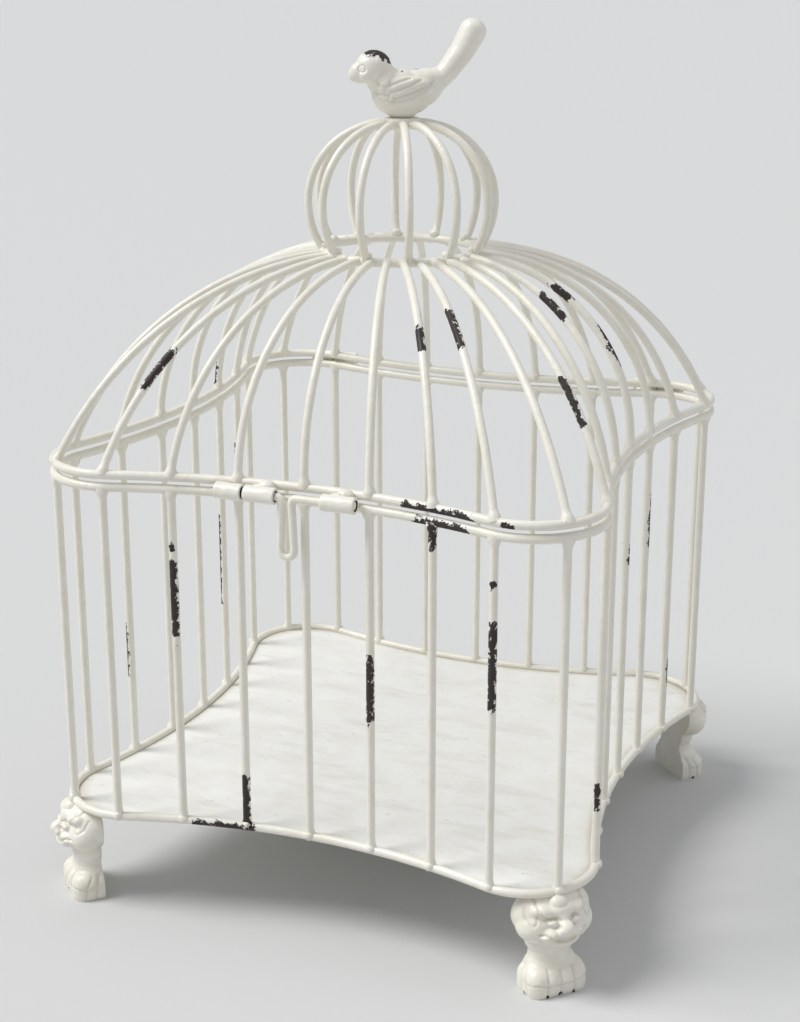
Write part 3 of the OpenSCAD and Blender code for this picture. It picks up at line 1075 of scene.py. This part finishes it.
# %% Bolt
BOLT_R = 0.0021
BOLT_TIP_X = -0.043
BOLT_END_X = 0.031
LOOP_X = -0.0056
LEG_HALF = 0.0027
BEND_R = 0.0026
LOOP_R = 0.0037
LOOP_DROP = 0.031
LEG_LOW = -(LOOP_DROP - LOOP_R)


def bend(centre_x, centre_z, radius, start, end, steps=10):
    """Places along a round bend in the bolt's own upright plane, angles in degrees."""
    places = []
    for step in range(steps + 1):
        turn = math.radians(start + (end - start) * step / steps)
        x = centre_x + radius * math.cos(turn)
        places.append((x, centre_z + radius * math.sin(turn)))
    return places


def straight(start, end, steps):
    """Places between two places, both left out."""
    (x0, z0), (x1, z1) = start, end
    shares = [step / steps for step in range(1, steps)]
    return [(x0 + (x1 - x0) * share, z0 + (z1 - z0) * share) for share in shares]


left_x = LOOP_X - LEG_HALF
right_x = LOOP_X + LEG_HALF
outline = [(BOLT_TIP_X, 0)]
outline += straight((BOLT_TIP_X, 0), (left_x - BEND_R, 0), 34)
outline += bend(left_x - BEND_R, -BEND_R, BEND_R, 90, 0)
outline += straight((left_x, -BEND_R), (LOOP_X - LOOP_R, LEG_LOW), 24)
outline += bend(LOOP_X, LEG_LOW, LOOP_R, 180, 360)
outline += straight((LOOP_X + LOOP_R, LEG_LOW), (right_x, -BEND_R), 24)
outline += bend(right_x + BEND_R, -BEND_R, BEND_R, 180, 90)
outline += straight((right_x + BEND_R, 0), (BOLT_END_X, 0), 32)
outline += [(BOLT_END_X, 0)]
run = []
for x, z in outline:
    place = Vector((x, LATCH_Y, JOINT_Z + z))
    run.append((place, BOLT_R * uneven(place, 0.008, 0.03)))
# Dark bare metal on the bolt. In the gap between keeper and left guide it stands partly for paint
# scraped off by the sliding and partly for painted shade between the barrels; at the tip, inside the
# keeper, it is scraped paint.
CHIPS["latch_bolt"] = [
    (Vector((-0.0315, LATCH_Y, JOINT_Z)), Vector((-0.0268, LATCH_Y, JOINT_Z)), 0.005),
    (Vector((-0.043, LATCH_Y, JOINT_Z)), Vector((-0.036, LATCH_Y, JOINT_Z)), 0.004),
]
finish_piece("latch_bolt", sweep([run]), wire_paint)

# %% [markdown]
# ## Kneading clay
# The feet and the bird are castings with soft forms, made as a sculptor would. Ellipsoid lumps
# are pushed together, a voxel remesh fuses them into one skin, and smoothing melts their joins.
# Grooves are then carved: each point close to a drawn line is pushed inwards, and how deep it
# went is kept as the `recess` attribute, so that the paint is darker there as painted shade.

# %% Clay helpers
def lump(bm, centre, radii, turn=0.0, axis="Y"):
    """Add an ellipsoid of clay, in millimetres, turned about one axis by some degrees."""
    place = Matrix.Translation(Vector(centre) / 1000)
    tilt = Matrix.Rotation(math.radians(turn), 4, axis)
    size = Matrix.Diagonal((*(Vector(radii) / 1000), 1))
    bmesh.ops.create_icosphere(bm, subdivisions=4, radius=1, matrix=place @ tilt @ size)


def pair(bm, centre, radii, turn=0.0, axis="X"):
    """The same lump on both sides of the middle plane."""
    x, y, z = centre
    lump(bm, (x, y, z), radii, turn, axis)
    lump(bm, (x, -y, z), radii, -turn, axis)


def block(bm, centre, halves, rounding):
    """Add a box of clay with rounded edges, in millimetres."""
    place = Matrix.Translation(Vector(centre) / 1000)
    size = Matrix.Diagonal((*(Vector(halves) / 500), 1))
    made = bmesh.ops.create_cube(bm, size=1, matrix=place @ size)
    edges = {edge for vert in made["verts"] for edge in vert.link_edges}
    round_edges(bm, list(edges), rounding / 1000, 8)


def knead(bm, voxel, rounds):
    """Fuse overlapping lumps into one closed skin and smooth it."""
    mesh = bpy.data.meshes.new("clay")
    bm.to_mesh(mesh)
    holder = bpy.data.objects.new("clay", mesh)
    bpy.context.collection.objects.link(holder)
    fuse = holder.modifiers.new("fuse", "REMESH")
    fuse.mode = "VOXEL"
    fuse.voxel_size = voxel
    take_evaluated(bm, holder)
    bpy.data.meshes.remove(mesh)
    for _ in range(rounds):
        bmesh.ops.smooth_vert(
            bm, verts=bm.verts, factor=0.5, use_axis_x=True, use_axis_y=True, use_axis_z=True
        )
    bm.normal_update()


def line_distance(spot, line):
    """How far a flat spot is from a drawn line of points."""
    best = 1e9
    for start, end in zip(line, line[1:]):
        along = end - start
        share = (spot - start).dot(along) / max(along.length_squared, 1e-9)
        best = min(best, (spot - start - along * min(max(share, 0), 1)).length)
    return best


def carve(bm, flat, lines, width, depth):
    """Press grooves into the clay along lines drawn on a flat view and store painted shade for them;
    flat gives (spot, weight).
    """
    layer = bm.verts.layers.float.get("recess") or bm.verts.layers.float.new("recess")
    drawn = [[Vector(point) for point in line] for line in lines]
    moves = []
    for vert in bm.verts:
        spot, weight = flat(vert)
        if weight <= 0:
            continue
        near = min(line_distance(spot, line) for line in drawn)
        if near < 3 * width:
            moves.append((vert, weight * math.exp(-(near / width) ** 2)))
    for vert, amount in moves:
        vert.co -= vert.normal * amount * depth / 1000
        # painted shade: the deeper a point was pushed, the darker its paint
        vert[layer] = min(vert[layer] + amount * 0.22, 1)
    bm.normal_update()


def oval(centre_a, centre_b, radius_a, radius_b, start=0, end=360, steps=24):
    """A drawn oval, or a part of one."""
    line = []
    for step in range(steps + 1):
        turn = math.radians(start + (end - start) * step / steps)
        line.append((centre_a + radius_a * math.cos(turn), centre_b + radius_b * math.sin(turn)))
    return line


print("clay helpers ready")

# %% [markdown]
# ## Lion feet
# Each foot is a flat-backed casting: a lion mask with brow, eyes, nose, cheeks and ears over a
# plain waist and a paw with four toes. It is sculpted once, facing +X, from lumps named after
# the parts of the face. The line drawings are seen from the front: distance from the middle
# first, then height, both in millimetres, so one drawing serves both halves of the face.

# %% Sculpt the foot
foot = bmesh.new()
# paw
block(foot, (4.0, 0, 5.5), (13.0, 16.8, 9.5), 7.0)
pair(foot, (8.5, 3.8, 8.5), (9.4, 6.0, 7.6))
pair(foot, (7.0, 10.6, 8.2), (9.2, 6.6, 7.4))
lump(foot, (2.5, 0, 13.0), (12.0, 14.0, 9.0))
# waist, widening up to the jaw
lump(foot, (2.5, 0, 19.0), (10.8, 11.4, 12.0))
lump(foot, (2.5, 0, 27.0), (11.6, 13.6, 9.5))
# head and cheeks
lump(foot, (2.0, 0, 42.4), (14.4, 21.4, 15.4))
pair(foot, (6.5, 10.0, 38.0), (10.6, 10.8, 9.4))
lump(foot, (8.0, 0, 34.0), (10.4, 13.0, 7.0))
# muzzle, upper lips and nose
pair(foot, (12.6, 5.8, 37.2), (9.0, 8.2, 4.4), -16)
lump(foot, (17.8, 0, 40.2), (7.2, 5.4, 4.8))
pair(foot, (17.0, 3.5, 38.8), (6.6, 3.9, 3.7))
lump(foot, (14.2, 0, 44.4), (5.6, 4.6, 5.6))
# lower lip
lump(foot, (12.6, 0, 32.8), (9.4, 11.2, 3.8))
# brow and eyes
lump(foot, (11.6, 0, 48.0), (7.0, 9.0, 4.6))
pair(foot, (10.8, 8.0, 47.6), (6.2, 7.6, 3.8), 8)
pair(foot, (16.0, 6.0, 43.0), (3.6, 3.6, 2.6))
knead(foot, 0.00055, 6)
print("foot skin:", len(foot.verts), "points")


# %% Carve the foot
def front_view(vert):
    """Distance from the middle and height, for points that face forwards."""
    place = vert.co * 1000
    return Vector((abs(place.y), place.z)), min(max(vert.normal.x * 2.2 + 0.3, 0), 1)


def side_view(vert):
    """Distance from the back and height, for points that face sideways."""
    place = vert.co * 1000
    return Vector((place.x, place.z)), min(max(abs(vert.normal.y) * 2.0 - 0.9, 0), 1)


MOUTH = [(0, 34.0), (4, 34.2), (7.5, 35.4), (10.6, 37.6), (12.8, 37.2)]
LOWER_LIP = [(0, 29.4), (6, 29.8), (9.5, 31.0), (12.4, 33.4)]
NOSE_LINE = [(0, 36.4), (2.8, 36.2), (5.8, 37.6), (6.4, 40.0), (4.4, 42.6)]
OVER_EYE = [(2.6, 44.8), (5.4, 45.8), (9.0, 45.0), (11.4, 47.2), (12.4, 50.0), (12.4, 53.0)]
TEETH = [[(d, 31.6), (d + 0.3, 34.6)] for d in (7.4, 9.2, 10.8)]
TOE_LINES = [[(0, 0.5), (0, 8), (0, 13.5)], [(7.6, 0.5), (7.4, 8), (6.6, 14)]]
CLAWS = [[(0.8, 6.2), (4, 6.9), (6.8, 6.4)], [(8.2, 7.0), (11.4, 7.8), (14.4, 7.4)]]
SIDE_TOES = [[(11.0, 0.5), (10.0, 8), (6.5, 14)], [(5.0, 0.5), (4.4, 8), (2.5, 14)]]

SIDE_CLAWS = [[(11.0, 6.8), (14.0, 7.4)], [(5.4, 7.6), (8.8, 7.2)]]
EYE_RIM = oval(6.4, 43.2, 3.0, 2.0)
EAR = oval(15.4, 46.6, 2.4, 5.0, 150, 390)

# what is drawn, then the groove's width and depth
FRONT_GROOVES = [
    ([MOUTH], 0.75, 1.0), ([LOWER_LIP, NOSE_LINE], 0.65, 0.6), ([OVER_EYE], 0.7, 0.7),
    ([EYE_RIM], 0.5, 0.45), (TEETH, 0.45, 0.35), ([EAR], 0.55, 0.5),
    (TOE_LINES, 0.6, 0.6), (CLAWS, 0.5, 0.5),
]
for lines, width, depth in FRONT_GROOVES:
    carve(foot, front_view, lines, width, depth)
for lines, width, depth in [(SIDE_TOES, 0.7, 0.6), (SIDE_CLAWS, 0.5, 0.4)]:
    carve(foot, side_view, lines, width, depth)

# %% [markdown]
# The clay is cut flat at the back, under the paw and below the ring, and each cut is closed. A
# round stud that was cast on the forehead is added after the cuts, because it stands up in front
# of the ring. The same mesh is then copied to the four corners and turned to face outwards. Small
# chips on the bottom edge of each paw come from their own list.

# %% Cut and place the feet
FOOT_TOP = 0.0545
FOOT_BACK = 0.010
corner_reach = plan_point(CORNER_BAR * PITCH).length


def cut_flat(bm, place, normal):
    """Cut away everything beyond a plane and close the cut."""
    cut = bmesh.ops.bisect_plane(
        bm, geom=[*bm.verts, *bm.edges, *bm.faces], dist=1e-7,
        plane_co=place, plane_no=normal, clear_outer=True,
    )
    open_edges = [item for item in cut["geom_cut"] if isinstance(item, bmesh.types.BMEdge)]
    bmesh.ops.holes_fill(bm, edges=open_edges, sides=0)


cut_flat(foot, (0, 0, 0), (-1, 0, 0))
cut_flat(foot, (0, 0, 0), (0, 0, -1))
cut_flat(foot, (0, 0, FOOT_TOP), (0, 0, 1))
lump(foot, (11.9, -1.0, 50.5), (5.2, 5.3, 5.2))
bmesh.ops.triangulate(foot, faces=[face for face in foot.faces if len(face.verts) > 4])

FOOT_NODES = ["foot_front_right", "foot_back_right", "foot_back_left", "foot_front_left"]
PAW_CHIPS = [((16.0, -7.6), 1.1), ((16.6, -0.6), 1.1), ((15.8, 7.4), 1.1), ((8.0, -16.0), 1.2)]
for side, node in enumerate(FOOT_NODES):
    turn = Matrix.Rotation((side - 0.5) * math.pi / 2, 4, "Z")
    place = turn @ Matrix.Translation((corner_reach - FOOT_BACK, 0, 0))
    copy = foot.copy()
    bmesh.ops.transform(copy, matrix=place, verts=copy.verts)
    chips = []
    for (x, y), reach in PAW_CHIPS:
        spot = place @ Vector((x / 1000, y / 1000, 0.0004))
        chips.append((spot, spot + Vector((0, 0, 0.0006)), reach / 1000))
    CHIPS[node] = chips
    finish_piece(node, copy, cast_paint, crease=math.radians(50))
foot.free()

# %% [markdown]
# ## Bird
# The bird sits on the hub, facing the front left corner, with its tail raised steeply. It is
# sculpted facing +X. The wing's feathers, the shoulder's scallops, the eye and the brow are
# carved from the side: distance forwards first, then height. The thick paint has flaked off its
# crown and in small spots on its back.

# %% Sculpt the bird
BIRD_TURN = math.radians(215)
BIRD_LIFT = 0.0026
BIRD_SEAT = CROWN_TOP_Z + HUB_T / 2 + BIRD_LIFT

bird = bmesh.new()
# belly, breast and back
lump(bird, (1.5, 0, 10.6), (15.0, 12.2, 12.6))
lump(bird, (0, 0, 2.4), (9.4, 8.6, 5.6))
lump(bird, (-8.0, 0, 13.6), (12.0, 9.6, 9.2), 6)
lump(bird, (-13.5, 0, 17.2), (9.0, 7.2, 6.0))
lump(bird, (-8.5, 0, 6.6), (8.6, 8.0, 6.2), 36)
lump(bird, (-13.0, 0, 11.8), (11.6, 8.4, 7.8), 40)
lump(bird, (-16.5, 0, 16.4), (8.6, 6.8, 6.6), 30)
# neck, head and cheeks
lump(bird, (10.5, 0, 17.5), (8.6, 9.2, 9.0))
lump(bird, (15.4, 0, 24.0), (9.7, 8.7, 9.0))
pair(bird, (18.6, 3.2, 20.6), (6.0, 5.0, 5.0))
# beak
lump(bird, (22.6, 0, 21.4), (5.8, 5.2, 5.8))
lump(bird, (25.8, 0, 20.2), (3.3, 2.7, 3.7), 12)
# folded wings
pair(bird, (-1.5, 8.7, 13.2), (13.0, 3.4, 6.4))
pair(bird, (9.8, 7.0, 14.6), (4.8, 3.4, 6.0))
# tail paddle
TAIL = [Vector(point) for point in ((-19, 0, 15.6), (-25, 0, 21.6), (-33, 0, 32.0), (-38.8, 0, 42.0))]
TAIL_TILTS = (44, 51, 58)
for (start, end), tilt in zip(zip(TAIL, TAIL[1:]), TAIL_TILTS):
    for step in range(9):
        spot = start.lerp(end, step / 8)
        rise = (spot.z - TAIL[0].z) / (TAIL[-1].z - TAIL[0].z)
        width = 5.6 + 2.2 * math.sin(rise * math.pi * 0.66)
        lump(bird, spot, (6.6, width, 5.4 + 1.9 * rise), tilt)
knead(bird, 0.00042, 7)
print("bird skin:", len(bird.verts), "points")


# %% Carve the bird
def bird_side(vert):
    """Distance forwards and height, for points that face sideways."""
    place = vert.co * 1000
    return Vector((place.x, place.z)), min(max(abs(vert.normal.y) * 2.4 - 0.5, 0), 1)


FEATHERS = [
    [(8.6, 15.2), (3.0, 17.4), (-2.5, 18.9)],
    [(6.9, 12.0), (-1.0, 14.8), (-8.5, 18.0)],
    [(6.6, 8.6), (-3.0, 11.2), (-13.5, 15.6)],
]
WING_EDGE = [(7.4, 6.4), (-2.0, 8.2), (-11.0, 12.4), (-15.6, 16.4)]
SCALLOPS = [
    oval(11.8, 17.6, 3.2, 3.2, 180, 350), oval(14.0, 13.0, 2.4, 2.4, 170, 340),
    oval(10.6, 12.2, 2.2, 2.3, 180, 330), oval(11.6, 9.2, 2.2, 2.2, 170, 330),
    oval(8.4, 8.6, 1.9, 1.9, 190, 330),
]
EYE = oval(22.8, 23.6, 1.6, 1.8)
BROW = [(25.6, 27.6), (22.6, 28.9), (19.0, 29.6), (16.0, 29.2)]

carve(bird, bird_side, FEATHERS, 0.75, 0.65)
carve(bird, bird_side, [WING_EDGE], 0.8, 0.4)
carve(bird, bird_side, SCALLOPS, 0.55, 0.42)
carve(bird, bird_side, [EYE], 0.5, 0.45)
carve(bird, bird_side, [BROW], 0.7, 0.35)

bird_place = Matrix.Translation((0, 0, BIRD_SEAT)) @ Matrix.Rotation(BIRD_TURN, 4, "Z")
bmesh.ops.transform(bird, matrix=bird_place, verts=bird.verts)


def bird_chip(start, end, reach):
    """A chip on the bird between two places in its own millimetres."""
    first, last = (bird_place @ (Vector(point) / 1000) for point in (start, end))
    return (first, last, reach / 1000)


CHIPS["bird_finial"] = [
    bird_chip((16.5, 2.4, 32.6), (8.6, 3.6, 30.2), 4.4),
    bird_chip((1.2, 5.5, 22.4), (0.6, 6.0, 22.4), 1.0),
    bird_chip((-4.0, 1.5, 23.4), (-8.0, 1.0, 23.3), 1.1),
]
finish_piece("bird_finial", bird, cast_paint)

made_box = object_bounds()
for label, cad, made in zip(("low", "high"), cad_box, made_box):
    print(label, "corner differs by", [round((m - c) * 1000, 2) for m, c in zip(made, cad)], "mm")
